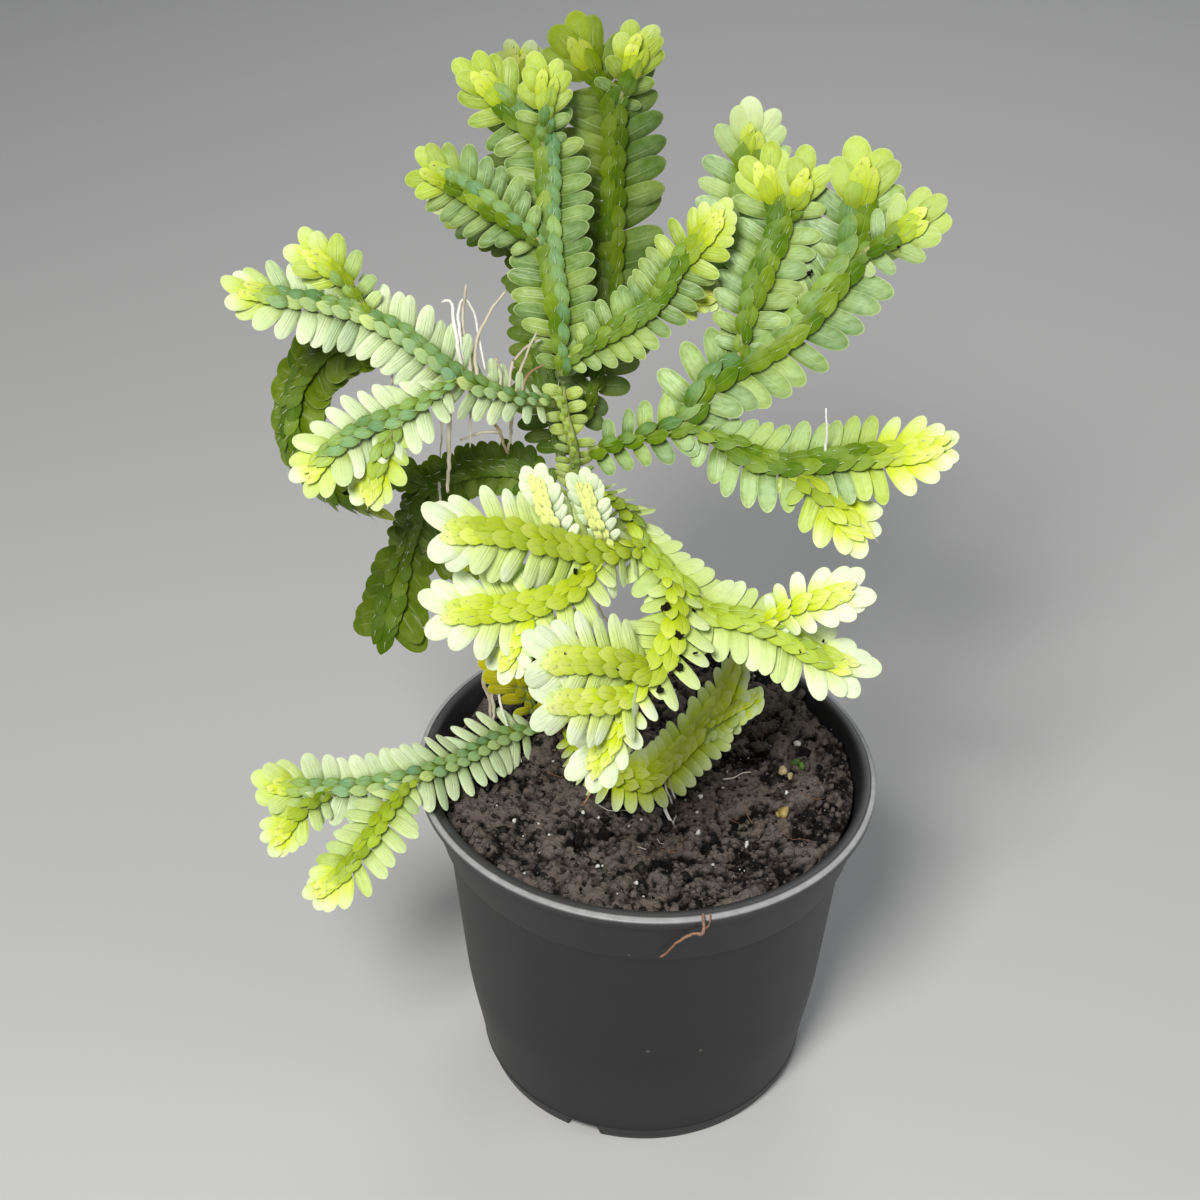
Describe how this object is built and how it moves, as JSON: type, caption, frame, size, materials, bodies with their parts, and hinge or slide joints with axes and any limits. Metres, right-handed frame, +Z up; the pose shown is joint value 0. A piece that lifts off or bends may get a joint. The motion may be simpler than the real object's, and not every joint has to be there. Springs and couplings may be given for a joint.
{
  "type": "potted spikemoss",
  "caption": "Spikemoss with flat scaly fronds forking from a short stem, growing in soil in a round tapered nursery pot.",
  "frame": {"origin": "centre of the pot's flat base, on the ground", "axes": "+Z up, +X to the right of the pictured side, -Y towards the viewer"},
  "size_m": [0.0807, 0.0712, 0.1391],
  "materials": {
    "pot": "matt moulded plastic with a worn lip",
    "soil": "damp crumbly potting soil",
    "main_stem": "scaly green stem",
    "frond_crown": "satin leaf",
    "frond_back": "satin leaf",
    "frond_far_back": "satin leaf in shade",
    "frond_right": "satin leaf",
    "frond_left": "satin leaf",
    "frond_drooping": "satin leaf in shade",
    "frond_front": "satin leaf, pale lime",
    "frond_low_front": "satin leaf, pale lime",
    "frond_creeping": "satin leaf, pale lime",
    "shoot_old_yellow": "old yellow leaf"
  },
  "bodies": {
    "root": {"pot": "pot", "soil": "soil", "main_stem": "main_stem", "frond_crown": "frond_crown", "frond_back": "frond_back", "frond_far_back": "frond_far_back", "frond_right": "frond_right", "frond_left": "frond_left", "frond_drooping": "frond_drooping", "frond_front": "frond_front", "frond_low_front": "frond_low_front", "frond_creeping": "frond_creeping", "shoot_old_yellow": "shoot_old_yellow"}
  },
  "joints": []
}
